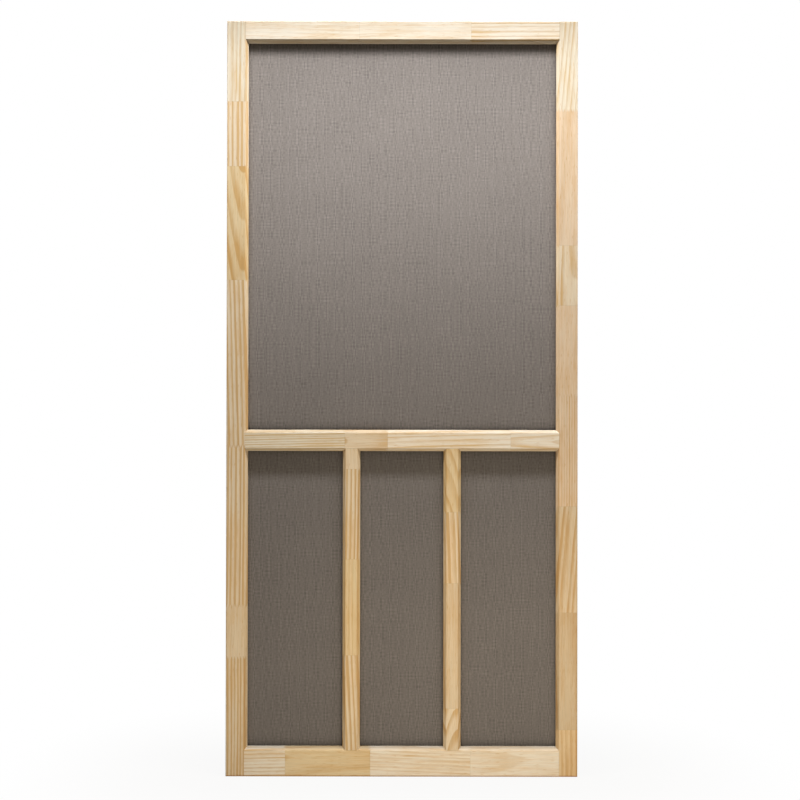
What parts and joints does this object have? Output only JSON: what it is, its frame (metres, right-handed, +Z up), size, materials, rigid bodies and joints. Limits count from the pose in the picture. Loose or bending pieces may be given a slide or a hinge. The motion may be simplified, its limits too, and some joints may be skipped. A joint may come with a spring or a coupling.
{
  "type": "wooden screen door",
  "caption": "Pine screen door leaf with chamfered stiles and rails, a tall upper screen, a mid rail and narrow lower screens between mullions, held in back rebates by splines.",
  "frame": {"origin": "foot of the hinge edge, the left stile's outer face, half way through the door's thickness", "axes": "+Z up along the stiles, +X across the door to the right as seen from the front, +Y from the front face to the back"},
  "size_m": [0.93, 0.0254, 2],
  "materials": {
    "pine": "planed and unfinished",
    "screen": "woven, matt",
    "spline": "matt vinyl"
  },
  "bodies": {
    "root": {"left_stile": "pine", "right_stile": "pine", "top_rail": "pine", "mid_rail": "pine", "bottom_rail": "pine", "left_mullion": "pine", "right_mullion": "pine", "upper_screen": "screen", "lower_left_screen": "screen", "lower_middle_screen": "screen", "lower_right_screen": "screen", "upper_top_spline": "spline", "upper_bottom_spline": "spline", "upper_left_spline": "spline", "upper_right_spline": "spline", "lower_left_top_spline": "spline", "lower_left_bottom_spline": "spline", "lower_left_left_spline": "spline", "lower_left_right_spline": "spline", "lower_middle_top_spline": "spline", "lower_middle_bottom_spline": "spline", "lower_middle_left_spline": "spline", "lower_middle_right_spline": "spline", "lower_right_top_spline": "spline", "lower_right_bottom_spline": "spline", "lower_right_left_spline": "spline", "lower_right_right_spline": "spline"}
  },
  "joints": []
}
